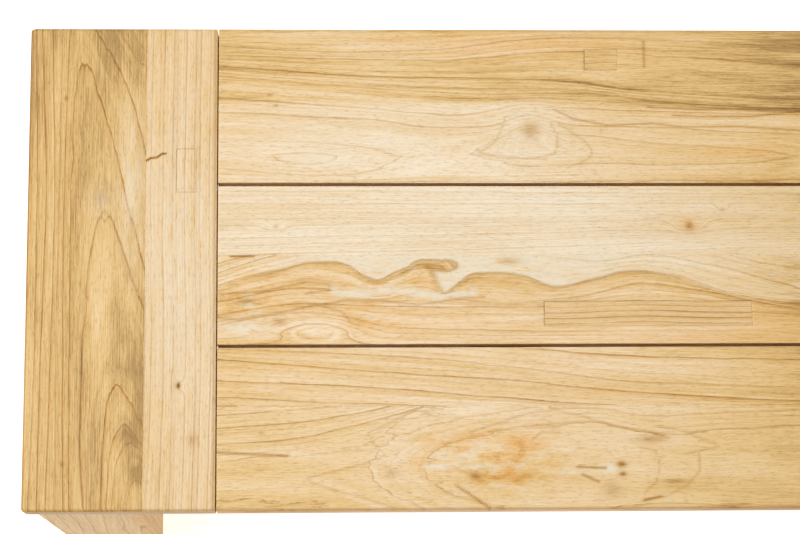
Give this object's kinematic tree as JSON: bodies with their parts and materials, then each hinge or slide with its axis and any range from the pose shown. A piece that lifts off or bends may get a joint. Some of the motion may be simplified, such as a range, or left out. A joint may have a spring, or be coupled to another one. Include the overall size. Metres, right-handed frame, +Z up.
{
  "type": "backless bench",
  "caption": "Backless wooden bench: planked seat with cross boards at both ends, on square legs joined by aprons, for sitting outdoors or in.",
  "frame": {"origin": "on the ground under the middle of the seat", "axes": "+X along the bench towards its right end, -Y towards its front edge, +Z up"},
  "size_m": [1.5, 0.4, 0.45],
  "materials": {
    "plank_teak": "satin",
    "end_board_teak": "satin",
    "patch_teak": "satin",
    "frame_teak": "satin",
    "joinery_teak": "matte",
    "nylon_glides": "matte",
    "stainless_screws": "satin"
  },
  "bodies": {
    "root": {"batten_screws": "stainless_screws", "brace_screws": "stainless_screws", "button_screws": "stainless_screws", "centre_batten": "joinery_teak", "front_apron": "frame_teak", "front_left_brace": "joinery_teak", "front_left_glide": "nylon_glides", "front_left_inner_button": "joinery_teak", "front_left_leg": "frame_teak", "front_left_outer_button": "joinery_teak", "front_plank_front_strip": "plank_teak", "front_plank_left_tenon": "joinery_teak", "front_plank_rear_strip": "plank_teak", "front_plank_right_tenon": "joinery_teak", "front_right_brace": "joinery_teak", "front_right_glide": "nylon_glides", "front_right_inner_button": "joinery_teak", "front_right_leg": "frame_teak", "front_right_outer_button": "joinery_teak", "left_batten": "joinery_teak", "left_end_apron": "frame_teak", "left_end_button": "joinery_teak", "left_end_inlay": "patch_teak", "left_end_inner_strip": "end_board_teak", "left_end_outer_strip": "end_board_teak", "leg_dowels": "joinery_teak", "middle_plank_front_strip": "plank_teak", "middle_plank_inlay": "patch_teak", "middle_plank_left_tenon": "joinery_teak", "middle_plank_rear_strip": "plank_teak", "middle_plank_right_tenon": "joinery_teak", "rear_apron": "frame_teak", "rear_left_brace": "joinery_teak", "rear_left_glide": "nylon_glides", "rear_left_inner_button": "joinery_teak", "rear_left_leg": "frame_teak", "rear_left_outer_button": "joinery_teak", "rear_plank": "plank_teak", "rear_plank_inlay": "patch_teak", "rear_plank_left_tenon": "joinery_teak", "rear_plank_right_tenon": "joinery_teak", "rear_right_brace": "joinery_teak", "rear_right_glide": "nylon_glides", "rear_right_inner_button": "joinery_teak", "rear_right_leg": "frame_teak", "rear_right_outer_button": "joinery_teak", "right_batten": "joinery_teak", "right_end_apron": "frame_teak", "right_end_button": "joinery_teak", "right_end_inner_strip": "end_board_teak", "right_end_outer_strip": "end_board_teak"}
  },
  "joints": []
}
